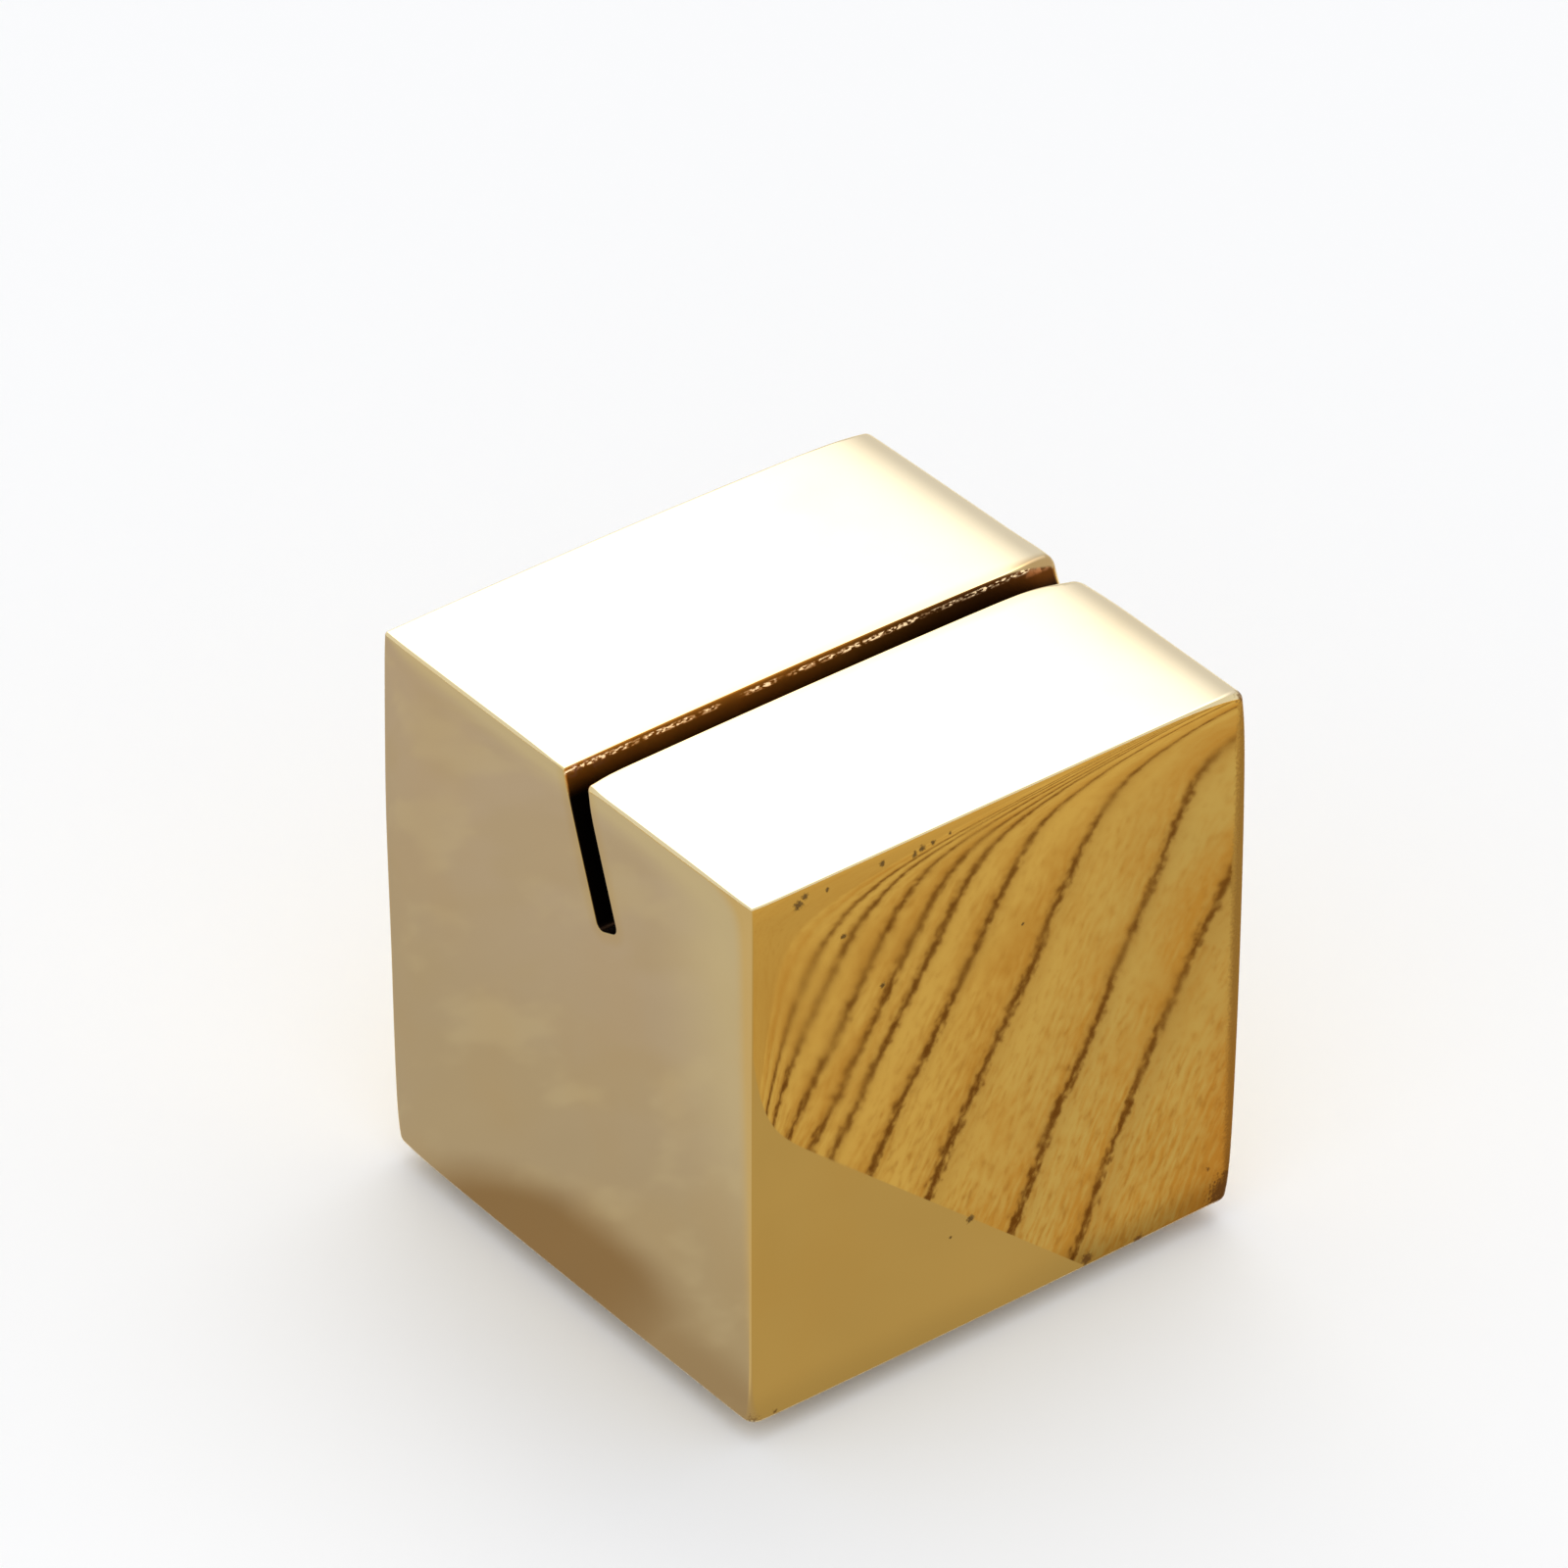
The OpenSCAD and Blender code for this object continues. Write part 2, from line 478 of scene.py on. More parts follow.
pad_points, pad_faces = skin(flat_brick(pad_low, pad_high, PAD_CELLS))
pad_points, pad_normals = pressed(pad_points, past_pad)
pad = new_piece("felt_pad", pad_points, pad_faces, pad_normals)
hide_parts("base_pad")

# %% [markdown]
# ## Shader maths as expressions
#
# A material is a small net of nodes. Written node by node it hides its own meaning, so one class
# wraps a socket and lets Python's operators add the Math nodes, and one method adds any other node.

# %% Wires and trees
class Wire:
    """A node's output. Sums, products and powers of wires and numbers add Math nodes."""

    def __init__(self, tree, socket):
        self.tree = tree
        self.socket = socket

    def maths(self, operation, *values):
        return self.tree.node("Math", {"operation": operation}, dict(enumerate(values)))

    def __add__(self, other):
        return self.maths("ADD", self, other)

    def __radd__(self, other):
        return self.maths("ADD", other, self)

    def __sub__(self, other):
        return self.maths("SUBTRACT", self, other)

    def __rsub__(self, other):
        return self.maths("SUBTRACT", other, self)

    def __mul__(self, other):
        return self.maths("MULTIPLY", self, other)

    def __rmul__(self, other):
        return self.maths("MULTIPLY", other, self)

    def __truediv__(self, other):
        return self.maths("DIVIDE", self, other)

    def __pow__(self, other):
        return self.maths("POWER", self, other)

    def __abs__(self):
        return self.maths("ABSOLUTE", self)

    def at_least(self, other):
        return self.maths("MAXIMUM", self, other)

    def at_most(self, other):
        return self.maths("MINIMUM", self, other)

    def rise(self, start, end):
        """0 up to start, 1 from end, and a smooth step between. With start above end it falls."""
        settings = {"interpolation_type": "SMOOTHSTEP"}
        sockets = {"Value": self, "From Min": start, "From Max": end}
        return self.tree.node("MapRange", settings, sockets)


class Tree:
    """A node tree of a material or a world."""

    def __init__(self, owner):
        owner.use_nodes = True
        self.nodes = owner.node_tree.nodes
        self.links = owner.node_tree.links
        self.nodes.clear()

    def node(self, kind, settings=None, sockets=None, output=0):
        """Adds a node of a kind. Its settings come first, a ramp's stops among them, and then a value
        or a wire for each of the sockets named. Returns its output as a wire."""
        made = self.nodes.new("ShaderNode" + kind)
        for name, value in (settings or {}).items():
            if name == "stops":
                ramp = made.color_ramp
                while len(ramp.elements) < len(value):
                    ramp.elements.new(1)
                for element, (position, tone) in zip(ramp.elements, value):
                    element.position = position
                    element.color = tone
            else:
                setattr(made, name, value)
        for name, value in (sockets or {}).items():
            if isinstance(value, Wire):
                self.links.new(value.socket, made.inputs[name])
            else:
                made.inputs[name].default_value = value
        return Wire(self, made.outputs[output]) if made.outputs else made

    def place(self):
        """Object coordinates, which are the row frame in metres, because every piece sits at the
        origin."""
        return self.node("TexCoord", output="Object")

    def vector(self, operation, *values, output="Vector", scale=None):
        sockets = dict(enumerate(values)) if scale is None else {0: values[0], "Scale": scale}
        return self.node("VectorMath", {"operation": operation}, sockets, output)

    def along(self, place, direction):
        """How far a place lies along a direction."""
        return self.vector("DOT_PRODUCT", place, direction, output="Value")

    def away(self, place, centre):
        """How far a place lies from a centre."""
        return self.vector("DISTANCE", place, centre, output="Value")

    def noise(self, place, size, detail=2, stretch=(1, 1, 1)):
        """Cloudy noise about 0.5, with clouds of the given size, drawn out by stretch on each axis."""
        scaled = self.vector("MULTIPLY", place, tuple(1 / (size * k) for k in stretch))
        return self.node("TexNoise", {}, {"Vector": scaled, "Scale": 1, "Detail": detail})

    def mixed(self, share, first, second):
        """The first colour turned into the second one by a share."""
        return self.node("Mix", {"data_type": "RGBA"}, {0: share, 6: first, 7: second}, output=2)


def new_material(name):
    material = bpy.data.materials.new(name)
    return material, Tree(material)


def colour(red, green, blue):
    return (red, green, blue, 1)


# %% [markdown]
# ## Polished brass
#
# Brass is copper with about a third of zinc. Its colour is all in its mirror image: it has no
# diffuse colour of its own, so the shader is fully metallic and the base colour tints what it
# mirrors. Real polish isn't even. The wheel leaves a faint haze in clouds, casting leaves pits that
# the wheel doesn't reach, and a warm stain grows where polishing paste was left. Some corners and
# the front face's right and lower edges are darker brown. The larger pits and spots are placed one by
# one.

# %% Brass colours, pits and dirt
BRASS = colour(0.90, 0.735, 0.415)
WARM_BRASS = colour(0.90, 0.70, 0.36)
# The next two colours are painted reflections on the slot's lips: gold on both, brown at the rear
# lip's right end
LIP_GOLD_REFLECTION = colour(0.86, 0.64, 0.26)
LIP_BROWN_REFLECTION = colour(0.50, 0.30, 0.11)
TARNISH = colour(0.84, 0.56, 0.25)
PIT_BROWN = colour(0.10, 0.06, 0.03)
# Dark brown of the darker spots at some corners and edges
DARK_SPOT_BROWN = colour(0.22, 0.10, 0.03)
# Pits of the front face: distance right of its middle, height above the table, and size, in mm
FRONT_PITS = [
    (-12.1, 30.7, 0.36), (-11.7, 31.0, 0.25), (-10.4, 30.85, 0.17), (-7.2, 30.95, 0.2),
    (-5.3, 30.65, 0.22), (-4.9, 30.8, 0.25), (-4.2, 30.85, 0.17), (-3.2, 30.95, 0.12),
    (-9.5, 27.85, 0.2), (-7.2, 24.05, 0.2), (1.2, 23.9, 0.13), (-1.7, 7.8, 0.3), (-2.9, 7.2, 0.12),
]
# How far behind the front the pits fade out, how much noise frays them, and their dark core's share
PIT_DEPTH = (2 * MM, 1 * MM)
PIT_FRAY = 1.6
PIT_CORE = 0.3
# Darker brown spots, mostly at corners and near the foot: place from the block's middle and the table,
# and size, in mm
DARK_CORNER_SPOTS = [
    (14.6, -14.3, 1.9, 1.5), (-14.9, -14.6, 1.2, 0.8), (14.7, -14.5, 31.2, 0.6),
    (5.7, -14.6, 1.8, 0.45), (13.3, -14.6, 3.7, 0.22), (9.0, -14.6, 1.5, 0.35),
    (-13.4, -14.6, 1.6, 0.25), (14.5, -14.6, 2.9, 0.4),
]
DARK_SPOT_FRAY = 1.5
DARK_SPOT_CORE = 0.4
# Darkening along the front face's right and lower edges, measured across each edge, and its strength
RIGHT_RIM = (28.6 * MM, 29.1 * MM)
RIGHT_RIM_FRAY = 0.5 * MM
LOWER_RIM = (-13.1 * MM, -13.55 * MM)
LOWER_RIM_FRAY = 0.8 * MM
RIM_DARKENING = 0.6
# The warm stain low on the right of the front face, strongest in its corner
STAIN_ACROSS = (26.5 * MM, 29.4 * MM)
STAIN_HEIGHTS = (22 * MM, 6 * MM)
STAIN_CORNER = (15 * MM, -14.65 * MM, 1 * MM)
STAIN_SIZE = (6 * MM, 1 * MM)

brass, tree = new_material("polished_brass")
place = tree.place()
haze = tree.noise(place, 7 * MM, 3)
streaks = tree.noise(place, 0.5 * MM, 2, stretch=(1, 1, 12))
ragged = tree.noise(place, 0.15 * MM, 3) - 0.5


def spots(place, centres, fray, core):
    """The largest share of any spot at a place. A centre is a place and a size in mm. The share
    falls from 1 at the core, a part of the size, to 0 at the size, and noise frays its outline."""
    share = 0
    for *centre, size in centres:
        away = tree.away(place, tuple(value * MM for value in centre))
        frayed = away + ragged * (fray * size * MM)
        share = frayed.rise(size * MM, core * size * MM).at_least(share)
    return share


on_front = tree.vector("MULTIPLY", place, (1, 0, 1))
from_front = tree.along(place, (0, 1, 0)) - float(low[1])
pitted = spots(on_front, [(x, 0, z, size) for x, z, size in FRONT_PITS], PIT_FRAY, PIT_CORE)
pitted = pitted * from_front.rise(*PIT_DEPTH)

across_right = tree.along(place, (1, -1, 0))
across_lower = tree.along(place, (0, 1, 1))
right_rim = (across_right - ragged * RIGHT_RIM_FRAY).rise(*RIGHT_RIM)
lower_rim = (across_lower + ragged * LOWER_RIM_FRAY).rise(*LOWER_RIM)
# Darker brown spots at some corners and along the front face's right and lower edges
darker = spots(place, DARK_CORNER_SPOTS, DARK_SPOT_FRAY, DARK_SPOT_CORE)
darker = darker.at_least(right_rim * RIM_DARKENING).at_least(lower_rim * RIM_DARKENING)

stain = across_right.rise(*STAIN_ACROSS) * tree.along(place, (0, 0, 1)).rise(*STAIN_HEIGHTS)
stain = stain.at_least(tree.away(place, STAIN_CORNER).rise(*STAIN_SIZE))
print(len(FRONT_PITS), "pits and", len(DARK_CORNER_SPOTS), "dirty corners")

# %% [markdown]
# ## The inside of the slot
#
# Nobody polishes inside the slot. It keeps dull, saw-cut and darkened walls. A painted coppery
# glint lies near its ends, and painted shade turns it nearly black from a millimetre down. The saw
# left a row of small level steps just under the lip of the rear wall; their shading turns up to
# catch the light, and their lighter colour is partly a painted highlight. The same distance
# formula as in the mesh, written once more in nodes, tells the shader where the slot begins.

# %% Slot finish
SLOT_BRASS = colour(0.55, 0.20, 0.022)
SLOT_DARK = colour(0.16, 0.055, 0.010)
# Painted shade, nearly black, deeper down in the slot
SLOT_SHADE_BLACK = colour(0.02, 0.01, 0.005)
# A painted coppery glint near both ends of the slot
SLOT_COPPER_GLINT = colour(0.58, 0.24, 0.09)
# Colour of the saw's steps, lighter than the walls: partly a painted highlight
DASH_GLINT_BRASS = colour(0.62, 0.47, 0.27)
SLOT_BORDER = (0.06 * MM, 0.01 * MM)
# Heights are measured up the wall, along the lean, from the mouth's middle
DASH_TOP = (0.08 * MM, 0.03 * MM)
DASH_FOOT = (-0.20 * MM, -0.09 * MM)
DASH_WALL = (SLOT_WIDTH / 2 - 0.1 * MM, SLOT_WIDTH / 2)
COPPER_GLINT_FOOT = (-0.5 * MM, -0.3 * MM)
SHADE_BLACK_FROM = (-0.5 * MM, -1.4 * MM)
# Where along the slot it darkens, and where the painted coppery glint begins and stops, from its
# middle
DARK_FROM = (-3 * MM, 10 * MM)
COPPER_GLINT_FROM = (12 * MM, 13.8 * MM)
COPPER_GLINT_TO = (14.8 * MM, 14.2 * MM)
# Painted reflections: the golden rim of both lips, and the brown right end of the rear lip
GOLD_REFLECTION_RIM = (0.9 * MM, 0.1 * MM)
BROWN_REFLECTION_RIM = (0.7 * MM, 0.15 * MM)
BROWN_END = (11.5 * MM, 13.5 * MM)
BROWN_SIDE = (0, 0.5 * MM)
BROWN_FOOT = (-1.2 * MM, -0.4 * MM)

wall_place = tree.vector("SUBTRACT", place, tuple(mouth))
along_slot = tree.along(place, (1, 0, 0))
across_wall = tree.along(wall_place, tuple(lean_across))
up_wall = tree.along(wall_place, tuple(lean_up))
aside = abs(across_wall) - (SLOT_WIDTH / 2 - SLOT_FLOOR_RADIUS)
below = -1 * up_wall - (SLOT_DEPTH - SLOT_FLOOR_RADIUS)
outside = (aside.at_least(0) ** 2 + below.at_least(0) ** 2) ** 0.5
from_slot = outside + aside.at_least(below).at_most(0) - SLOT_FLOOR_RADIUS
in_slot = from_slot.rise(*SLOT_BORDER)

# The saw's level steps under the rear lip; their shading turns up, and their lighter colour is partly
# a painted highlight
dashes = tree.noise(place, 0.12 * MM, 2, stretch=(2.5, 1, 1)).rise(0.42, 0.62)
dashes = dashes * tree.noise(place, 2.5 * MM, 1).rise(0.35, 0.55)
under_lip = up_wall.rise(*DASH_TOP) * up_wall.rise(*DASH_FOOT)
saw_steps_and_glint = dashes * under_lip * across_wall.rise(*DASH_WALL) * in_slot

# The painted coppery glint near both ends of the slot, broken into patches
glint_patches = tree.noise(place, 0.5 * MM, 3).rise(0.45, 0.6)
copper_glint = abs(along_slot).rise(*COPPER_GLINT_FROM) * abs(along_slot).rise(*COPPER_GLINT_TO)
copper_glint = copper_glint * glint_patches * up_wall.rise(*COPPER_GLINT_FOOT)
slot_metal = tree.mixed(along_slot.rise(*DARK_FROM), SLOT_BRASS, SLOT_DARK)
slot_metal = tree.mixed(copper_glint, slot_metal, SLOT_COPPER_GLINT)
# Painted shade: the walls turn nearly black from half a millimetre to 1.4 mm down
slot_metal = tree.mixed(up_wall.rise(*SHADE_BLACK_FROM), slot_metal, SLOT_SHADE_BLACK)
# The saw's steps get the lighter colour, partly a painted highlight
slot_metal = tree.mixed(saw_steps_and_glint, slot_metal, DASH_GLINT_BRASS)

# Painted reflections along the lips: gold on both, brown at the right end of the rear lip
gold_lip_reflection = from_slot.rise(*GOLD_REFLECTION_RIM) * 0.5
brown_reflection_end = along_slot.rise(*BROWN_END) * across_wall.rise(*BROWN_SIDE) * up_wall.rise(*BROWN_FOOT)
brown_lip_reflection = from_slot.rise(*BROWN_REFLECTION_RIM) * brown_reflection_end * 0.8
print("brass has", len(tree.nodes), "nodes so far")

# %% [markdown]
# ## Brass from its layers
#
# The layers are put together in this order: clean metal, a painted golden reflection along both
# lips and a painted brown one at the rear lip's right end, stain, pits, darker spots, and the
# slot's own finish last. Pits, the darker spots and the slot are also rougher than the polish. The
# saw's steps are level, so there the shading turns to face up.

# %% Brass finish
WAVE_HEIGHT = 0.002

metal = tree.mixed(haze.rise(0.4, 0.75) * 0.5, BRASS, WARM_BRASS)
metal = tree.mixed(gold_lip_reflection, metal, LIP_GOLD_REFLECTION)
metal = tree.mixed(brown_lip_reflection, metal, LIP_BROWN_REFLECTION)
metal = tree.mixed(stain * 0.7, metal, TARNISH)
metal = tree.mixed(pitted * 0.8, metal, PIT_BROWN)
metal = tree.mixed(darker * 0.85, metal, DARK_SPOT_BROWN)
metal = tree.mixed(in_slot, metal, slot_metal)
roughness = 0.02 + haze.rise(0.45, 0.8) * 0.04 + streaks * 0.015 + pitted * 0.4 + darker * 0.4
roughness = roughness + in_slot * (0.35 - saw_steps_and_glint * 0.2)

# The wheel's long shallow waves, in mm
waves = tree.noise(place, 5 * MM, 1) * WAVE_HEIGHT
relief = tree.node("Bump", {}, {"Strength": 1.0, "Distance": 1 * MM, "Height": waves})
wall_share = tree.vector("SCALE", relief, scale=1 - saw_steps_and_glint)
step_share = tree.vector("SCALE", (0, 0, 1), scale=saw_steps_and_glint)
facing = tree.vector("NORMALIZE", tree.vector("ADD", wall_share, step_share))
shader = tree.node("BsdfPrincipled", {}, {
    "Base Color": metal, "Metallic": 1.0, "Roughness": roughness, "Normal": facing,
})
tree.node("OutputMaterial", {}, {"Surface": shader})
block.data.materials.append(brass)
print("brass has", len(tree.nodes), "nodes")

# %% [markdown]
# ## Felt
#
# Felt is wool pressed into a mat. It has no weave, only fibres in every direction, so its light and
# dark specks are noise at the size of a fibre, and its fuzzy surface catches a little sheen.

# %% Felt finish
FELT = colour(0.03, 0.03, 0.032)
FELT_LIGHT = colour(0.075, 0.073, 0.075)
FIBRE_SIZE = 0.12 * MM
LINT_SIZE = 1.6 * MM
FIBRE_HEIGHT = 0.06 * MM

felt, tree = new_material("felt")
place = tree.place()
lengthways = tree.noise(place, FIBRE_SIZE, 4, stretch=(1, 3, 1))
crossways = tree.noise(place, FIBRE_SIZE, 4, stretch=(3, 1, 1))
fibres = lengthways * 0.5 + crossways * 0.5
lint = tree.noise(place, LINT_SIZE, 3)
wool = tree.mixed(fibres.rise(0.45, 0.7) * 0.7 + lint.rise(0.5, 0.8) * 0.3, FELT, FELT_LIGHT)
relief = tree.node("Bump", {}, {"Strength": 1.0, "Distance": FIBRE_HEIGHT, "Height": fibres})
shader = tree.node("BsdfPrincipled", {}, {
    "Base Color": wool, "Roughness": 0.95, "Sheen Weight": 0.3, "Normal": relief,
})
tree.node("OutputMaterial", {}, {"Surface": shader})
pad.data.materials.append(felt)
print("felt has", len(tree.nodes), "nodes")

# %% [markdown]
# ## Table
#
# The table is plain and pale and takes the block's soft shadow. It is only there to be looked at,
# so it is declared as part of the stage.

# %% Floor
FLOOR_HALF = 3.0
FLOOR_WHITE = colour(0.94, 0.93, 0.905)

floor_mesh = bpy.data.meshes.new("floor")
floor_mesh.from_pydata([
    (-FLOOR_HALF, -FLOOR_HALF, 0), (FLOOR_HALF, -FLOOR_HALF, 0),
    (FLOOR_HALF, FLOOR_HALF, 0), (-FLOOR_HALF, FLOOR_HALF, 0),
], [], [(0, 1, 2, 3)])
floor = bpy.data.objects.new("floor", floor_mesh)
bpy.context.scene.collection.objects.link(floor)
floor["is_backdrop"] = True
paper, tree = new_material("pale_paper")
shader = tree.node("BsdfDiffuse", {}, {"Color": FLOOR_WHITE, "Roughness": 1.0})
tree.node("OutputMaterial", {}, {"Surface": shader})
floor_mesh.materials.append(paper)

# %% [markdown]
# ## Room and window
#
# A mirror needs a room. This one is a pale grey world with one large soft window behind the block
# and to its right, high enough for the top face to mirror it and go nearly white. Lamps would give
# the same light, but a polished edge would mirror their hard borders. The window leans, so that the
# top face mirrors its soft border evenly along its right edge. The wall near it is a little bluer,
# and a brighter ceiling keeps the top pale when it is seen from above.

# %% Room and window
ROOM_LIGHT = 0.85
WINDOW_LIGHT = 1.9
NEAR_LIGHT = 0.1
CEILING_LIGHT = 0.5
ROOM_GREY = colour(0.94, 0.96, 1.0)
SKY_BLUE = colour(0.80, 0.84, 1.03)
WINDOW_WHITE = colour(1, 1, 1)
WINDOW_AZIMUTH = math.radians(52.6)
WINDOW_HEIGHT = math.radians(50.5)
WINDOW_LEAN = math.radians(45)
WINDOW_HALF_WIDTH = math.tan(math.radians(32))
WINDOW_HALF_HEIGHT = math.tan(math.radians(15.8))
WINDOW_BLUR = math.tan(math.radians(6.5))
# How closely a direction has to point at the window, or straight up, to count as near it
NEAR_WINDOW = (0.75, 0.88)
NEAR_ZENITH = (0.8, 0.95)

world = bpy.data.worlds.new("room")
bpy.context.scene.world = world
tree = Tree(world)
direction = tree.node("TexCoord", output="Generated")
window_out = Vector((math.cos(WINDOW_AZIMUTH), math.sin(WINDOW_AZIMUTH), 0)) * math.cos(WINDOW_HEIGHT)
window_out.z = math.sin(WINDOW_HEIGHT)
level = Vector((-math.sin(WINDOW_AZIMUTH), math.cos(WINDOW_AZIMUTH), 0))
steep = window_out.cross(level)
window_side = level * math.cos(WINDOW_LEAN) - steep * math.sin(WINDOW_LEAN)
window_up = steep * math.cos(WINDOW_LEAN) + level * math.sin(WINDOW_LEAN)
ahead = tree.along(direction, tuple(window_out))
sideways = abs(tree.along(direction, tuple(window_side)) / ahead.at_least(0.01))
upwards = abs(tree.along(direction, tuple(window_up)) / ahead.at_least(0.01))
glow = sideways.rise(WINDOW_HALF_WIDTH + WINDOW_BLUR, WINDOW_HALF_WIDTH - WINDOW_BLUR)
glow = glow * upwards.rise(WINDOW_HALF_HEIGHT + WINDOW_BLUR, WINDOW_HALF_HEIGHT - WINDOW_BLUR)
near_window = ahead.rise(*NEAR_WINDOW)
ceiling = tree.along(direction, (0, 0, 1)).rise(*NEAR_ZENITH)
tint = tree.mixed(near_window, ROOM_GREY, SKY_BLUE)
light = tree.node("Background", {}, {
    "Color": tree.mixed(glow.rise(0.35, 0.9), tint, WINDOW_WHITE),
    "Strength": ROOM_LIGHT + near_window * NEAR_LIGHT + glow * WINDOW_LIGHT + ceiling * CEILING_LIGHT,
})
tree.node("OutputWorld", {}, {"Surface": light})

# %% [markdown]
# ## Cards for the mirror to see
#
# A polished face looks like whatever lies in front of it, so photographers lay cards and boards
# round polished metal. The front face here mirrors a grained board on a tan card, the left face a
# grey card. All lie on the table as one thin L-shaped sheet that only mirror rays see, so the table
# itself stays plain.

# %% Cards
CARD_REACH = 400 * MM
CARD_LIFT = 0.02 * MM
left_side, front_side = float(low[0]), float(low[1])

card_mesh = bpy.data.meshes.new("mirror_cards")
card_mesh.from_pydata([
    (x, y, CARD_LIFT)
    for x in (-CARD_REACH, left_side, CARD_REACH)
    for y in (-CARD_REACH, front_side, CARD_REACH)
], [], [(0, 3, 4, 1), (1, 4, 5, 2), (3, 6, 7, 4)])
cards = bpy.data.objects.new("mirror_cards", card_mesh)
bpy.context.scene.collection.objects.link(cards)
for ray in ("camera", "diffuse", "transmission", "volume_scatter", "shadow"):
    setattr(cards, "visible_" + ray, False)
cards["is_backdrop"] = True

card_material, tree = new_material("mirror_cards")
place = tree.place()
right_of = tree.along(place, (1, 0, 0))
behind = tree.along(place, (0, 1, 0))
far_off = tree.vector("LENGTH", place, output="Value")
clouds = tree.noise(place, 9 * MM, 2) - 0.5

# %% [markdown]
# ## The grey card
#
# The left face is nearly one tone, so small changes tell: it is paler and then golden towards its
# front edge, faintly clouded, and a soft brown shade lies at its foot. How far a mirrored place
# seems to lie from the face's front edge is its distance behind that edge, less what the mirrored
# ray has gone back on its way left.

# %% Grey card
NEAR_GREY = colour(0.440, 0.395, 0.365)
FAR_GREY = colour(0.480, 0.435, 0.450)
WARM_GREY = colour(0.425, 0.375, 0.320)
PALE_GREY = colour(0.560, 0.525, 0.470)
TAN_EDGE = colour(0.580, 0.475, 0.300)
SHADE_BROWN = colour(0.275, 0.198, 0.130)
# How far back a mirrored ray runs for each millimetre that it runs left
RAY_SLANT = 1.279
# Start and end of each change, as places right of, or behind, the block's middle
FAR_FROM = (-20 * MM, -40 * MM)
WARM_FROM = (8 * MM, -10 * MM)
PALE_FROM = (-41.5 * MM, -47 * MM)
EDGE_REACH = (-20 * MM, -38 * MM)
# Start and end of the pale and the golden border, from the mirrored front edge, and how fast the
# golden one draws closer to that edge on its way left
PALE_BORDER = (8 * MM, -0.5 * MM)
GOLD_BORDER = (0.8 * MM, -3.2 * MM)
GOLD_SLANT = 0.08
# The brown shade: its middle and half sizes in mm, and a narrower strip along the block's foot
SHADE_MIDDLE = (-15 * MM, 2.8 * MM, 0)
SHADE_HALF = (5.2 * MM, 10 * MM, 1)
SHADE_WEAK = (-9 * MM, 1 * MM)
STRIP_ACROSS = (left_side - 4.5 * MM, left_side - 1.8 * MM)
STRIP_ALONG = (12.5 * MM, 9 * MM)

from_edge = (behind - front_side) + (right_of - left_side) * RAY_SLANT
pale_spots = tree.noise(place, 6 * MM, 3)
grey = tree.mixed(right_of.rise(*FAR_FROM), NEAR_GREY, FAR_GREY)
grey = tree.mixed(behind.rise(*WARM_FROM) * 0.9, grey, WARM_GREY)
grey = tree.mixed((clouds + 0.5).rise(0.45, 0.62) * 0.4, grey, WARM_GREY)
grey = tree.mixed(pale_spots.rise(0.5, 0.66) * 0.35, grey, PALE_GREY)
grey = tree.mixed(from_edge.rise(*PALE_BORDER) * right_of.rise(*EDGE_REACH), grey, PALE_GREY)
grey = tree.mixed(right_of.rise(*PALE_FROM), grey, PALE_GREY)
from_gold = from_edge - (right_of - left_side) * GOLD_SLANT
grey = tree.mixed(from_gold.rise(*GOLD_BORDER), grey, TAN_EDGE)

shade_place = tree.vector("DIVIDE", tree.vector("SUBTRACT", place, SHADE_MIDDLE), SHADE_HALF)
shade = (tree.vector("LENGTH", shade_place, output="Value") + clouds * 0.3).rise(1.25, 0.7)
shade = shade * (behind.rise(*SHADE_WEAK) * 0.55 + 0.45)
foot_strip = right_of.rise(*STRIP_ACROSS) * behind.rise(*STRIP_ALONG)
shade = (foot_strip * 0.55).at_least(shade)
grey = tree.mixed(shade, grey, SHADE_BROWN)

# %% [markdown]
# ## The grained board
#
# A board of softwood shows its growth rings as nearly straight bands. Each starts pale in spring,
# turns slowly tawny and ends in one dark line. A wave texture would space them evenly, so a ramp
# holds the place of each line instead, and two noises let the lines wander and fray. Fibres and
# flecks run along the grain. The board's near edge is slanted, and the tan card shows before it.

# %% Grained board
TAN_CARD = colour(0.460, 0.340, 0.145)
PALE_GRAIN = colour(0.620, 0.445, 0.150)
GREEN_GRAIN = colour(0.540, 0.415, 0.165)
TAWNY_GRAIN = colour(0.495, 0.285, 0.068)
BROWN_GRAIN = colour(0.370, 0.210, 0.055)
DARK_GRAIN = colour(0.130, 0.050, 0.008)
GRAIN_ALONG = (0.8, -0.6, 0)
GRAIN_ACROSS = (0.6, 0.8, 0)
# Where the dark lines lie across the grain, in mm from the block's middle
GROWTH_LINES = [-32.4, -31, -29.6, -28.2, -26.4, -24.7, -23.4, -21, -17.4, -12.9, -9.4, -3.2, 6]
LINE_START = 0.03
# How far each line's dark colour fades before and after it, in mm
LINE_BEFORE = 0.55
LINE_AFTER = 0.50
# How far the lines wander and fray
LINE_WANDER = 1.5 * MM
LINE_FRAY = 0.7 * MM
# Where the board is rougher, tawnier and greener: places behind the middle, or across the grain
ROUGH_FROM = (-42 * MM, -20 * MM)
TAWNY_FROM = (front_side - 12 * MM, front_side - 2 * MM)
GREEN_FROM = (-21 * MM, -11 * MM)
# The board's near edge: how far right it lies level with the block's middle, and its slant
BOARD_EDGE = 12 * MM
BOARD_SLANT = 0.331
EDGE_SHARP = (-0.05 * MM, 0.05 * MM)


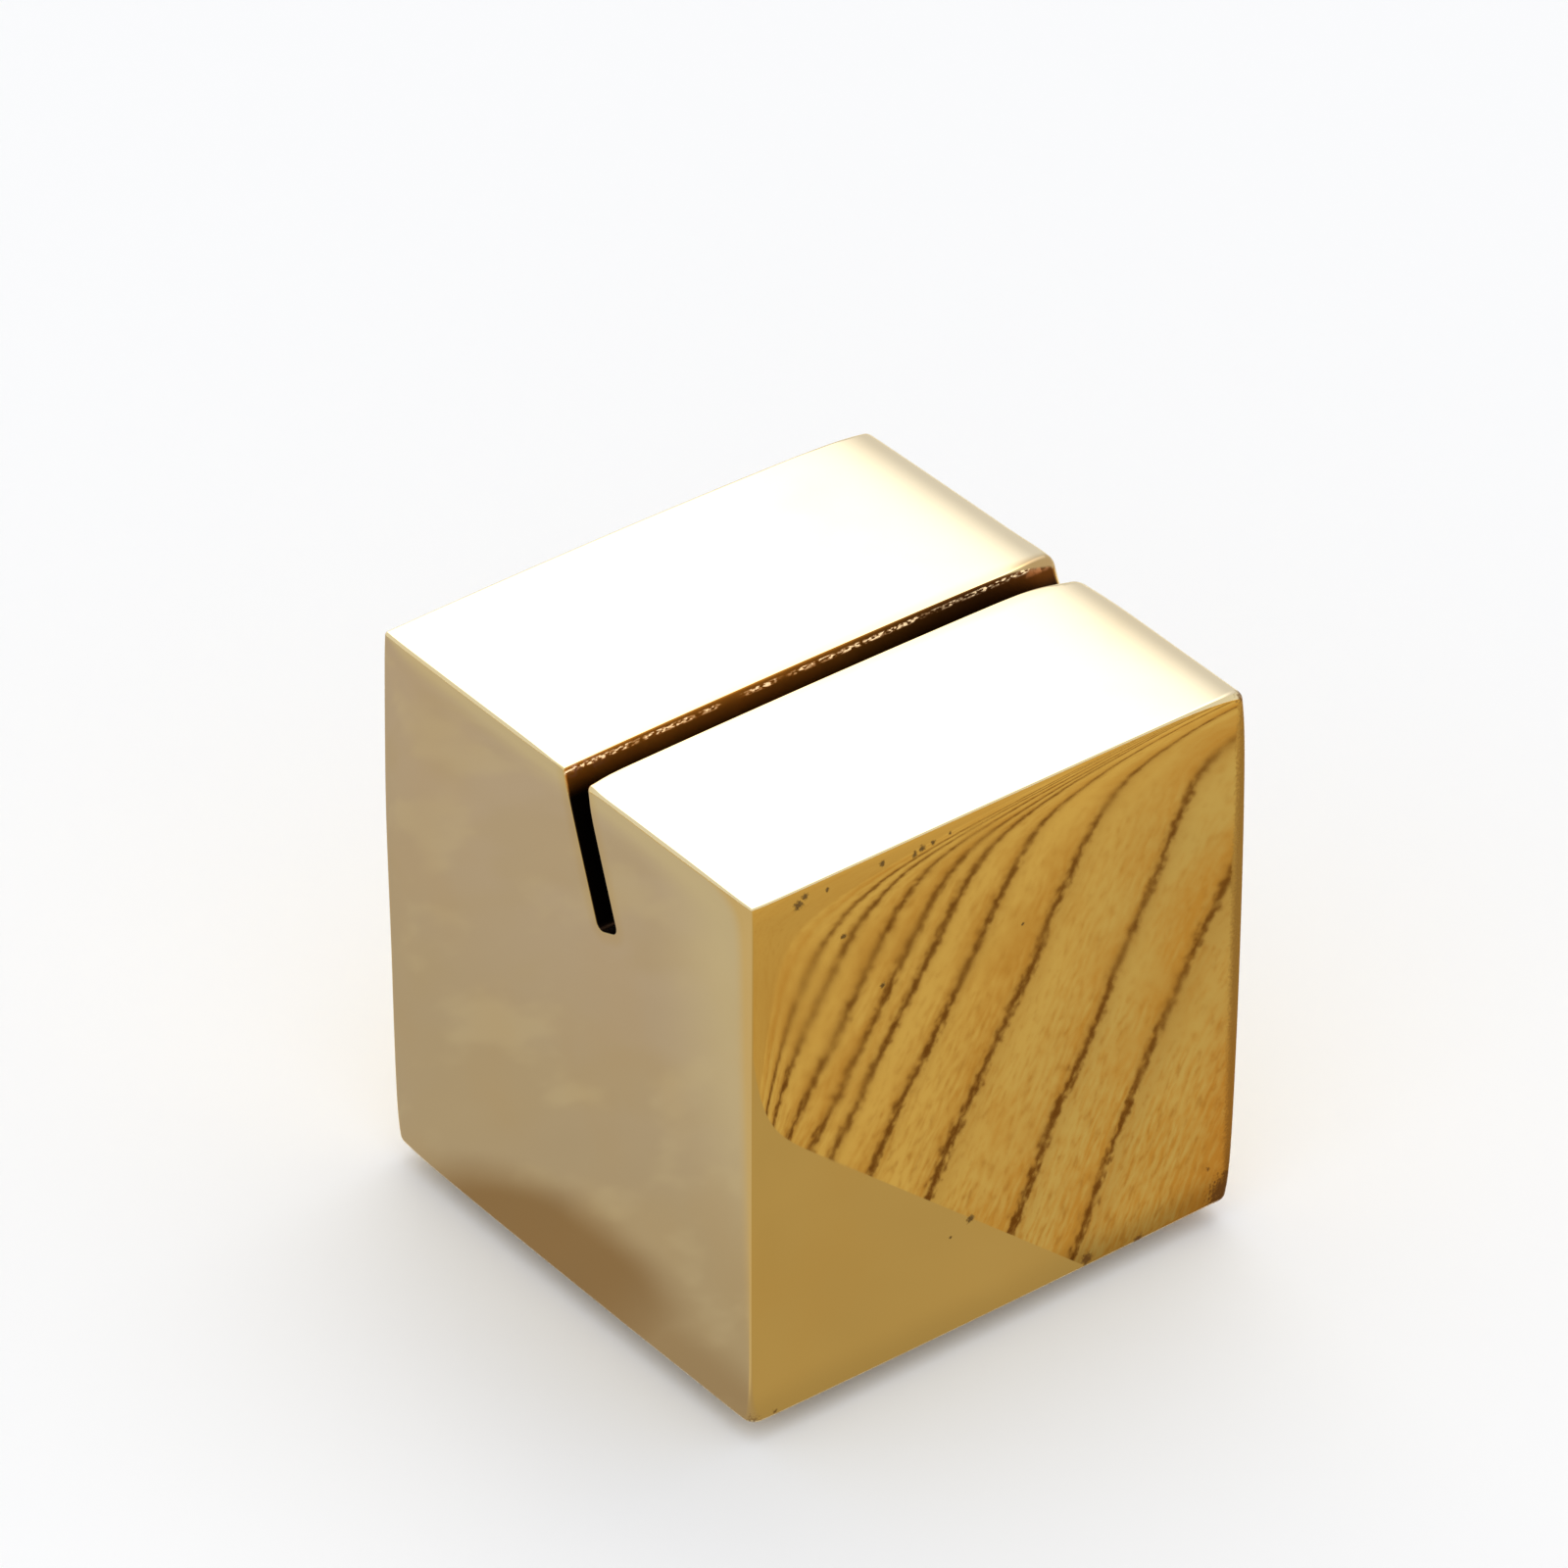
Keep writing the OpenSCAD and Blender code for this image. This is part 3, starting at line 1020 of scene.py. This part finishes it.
def line_place(line):
    """Where a place across the grain, in mm, falls between the first growth line and the last."""
    return (line - GROWTH_LINES[0]) / (GROWTH_LINES[-1] - GROWTH_LINES[0])


grain_place = tree.node("CombineXYZ", {}, {
    "X": tree.along(place, GRAIN_ALONG), "Y": tree.along(place, GRAIN_ACROSS),
})
wander = (tree.noise(grain_place, 7 * MM, 2, stretch=(3, 1, 1)) - 0.5) * LINE_WANDER
fray = (tree.noise(grain_place, 0.25 * MM, 3, stretch=(3, 1, 1)) - 0.5) * LINE_FRAY
across = tree.along(place, GRAIN_ACROSS) + wander + fray
position = (across - GROWTH_LINES[0] * MM) / ((GROWTH_LINES[-1] - GROWTH_LINES[0]) * MM)

age_stops = []
for start, end in zip(GROWTH_LINES[:-1], GROWTH_LINES[1:]):
    age_stops.append((line_place(start), colour(0, 0, 0)))
    age_stops.append((line_place(end - LINE_START), colour(1, 1, 1)))
ring_age = tree.node("ValToRGB", {"stops": age_stops}, {"Fac": position})
line_stops = []
for line in GROWTH_LINES[2:-1]:
    for shift, tone in ((-LINE_BEFORE, 0), (0, 1), (LINE_AFTER, 0)):
        line_stops.append((line_place(line + shift), colour(tone, tone, tone)))
near_line = tree.node("ValToRGB", {"stops": line_stops}, {"Fac": position})

fibres = tree.noise(grain_place, 0.18 * MM, 3, stretch=(14, 1, 1))
flecks = tree.noise(grain_place, 0.26 * MM, 3, stretch=(5, 1, 1))
patches = tree.noise(grain_place, 3 * MM, 2, stretch=(4, 1, 1))
rough_near = behind.rise(*ROUGH_FROM)
tawny = ring_age**1.6 * 0.9 + (patches - 0.5) * 1.6
tawny = tawny + ((fibres - 0.5) * 1.6 + (flecks - 0.5) * 1.2) * (rough_near * 0.5 + 1)
tawny = tawny + behind.rise(*TAWNY_FROM) * 0.35
early = tree.mixed(across.rise(*GREEN_FROM), PALE_GRAIN, GREEN_GRAIN)
wood = tree.mixed(tawny.at_least(0).at_most(1), early, TAWNY_GRAIN)
wood = tree.mixed((near_line * 0.8).at_least(ring_age.rise(0.3, 0) * 0.4), wood, BROWN_GRAIN)
wood = tree.mixed(flecks.rise(0.52, 0.75) * (rough_near * 0.35 + 0.3), wood, BROWN_GRAIN)
dark = (near_line + (flecks - 0.5) * 1.1).rise(0.42, 1.0) * 0.95
wood = tree.mixed(dark, wood, DARK_GRAIN)
on_wood = (right_of - (behind * BOARD_SLANT + BOARD_EDGE)).rise(*EDGE_SHARP)
warm = tree.mixed(on_wood, TAN_CARD, wood)
print(len(GROWTH_LINES), "growth lines,", len(line_stops), "ramp stops for the dark ones")

# %% [markdown]
# ## Light on the cards
#
# Paper and wood that lie further from the block get more of the window, and close to its foot they
# lie in its shade. The sheet glows with its own colours instead of being lit, so these two changes
# are simple factors. The border between the grey card and the warm side runs from the block's
# near corner towards the camera, where neither face mirrors it.

# %% Both sides together
FAR_LIGHT = 0.3
FAR_LIGHT_FROM = (45 * MM, 120 * MM)
FOOT_SHADE_FROM = (front_side - 3.5 * MM, front_side - 1.2 * MM)
# How far left the border between the cards runs for each millimetre forwards, and its softness
CORNER_SLANT = 0.765
CORNER_SOFT = (-4 * MM, 4 * MM)
CLOUD_LIGHT = 0.12

distance_light = far_off.rise(*FAR_LIGHT_FROM) * FAR_LIGHT + 1
foot_shade = behind.rise(*FOOT_SHADE_FROM) * (on_wood * 0.25 + 0.12)
warm = tree.vector("SCALE", warm, scale=distance_light * (1 - foot_shade))
corner_side = (right_of - left_side) - (behind - front_side) * CORNER_SLANT
seen = tree.mixed(corner_side.rise(*CORNER_SOFT), grey, warm)
seen = tree.vector("SCALE", seen, scale=clouds * CLOUD_LIGHT + 1)
shader = tree.node("Emission", {}, {"Color": seen, "Strength": 1.0})
tree.node("OutputMaterial", {}, {"Surface": shader})
card_mesh.materials.append(card_material)
print("the cards have", len(tree.nodes), "nodes")

# %% [markdown]
# ## Sizes and the end
#
# The box round the finished pieces is written beside the CAD model's box, so that anyone can see
# that the look has not outgrown the part.

# %% Sizes and the end
new_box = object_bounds()
boxes = {"cad": [list(corner) for corner in cad_box], "visual": [list(corner) for corner in new_box]}
for name, box in boxes.items():
    print(name, "box, mm:", [[round(v / MM, 3) for v in corner] for corner in box])
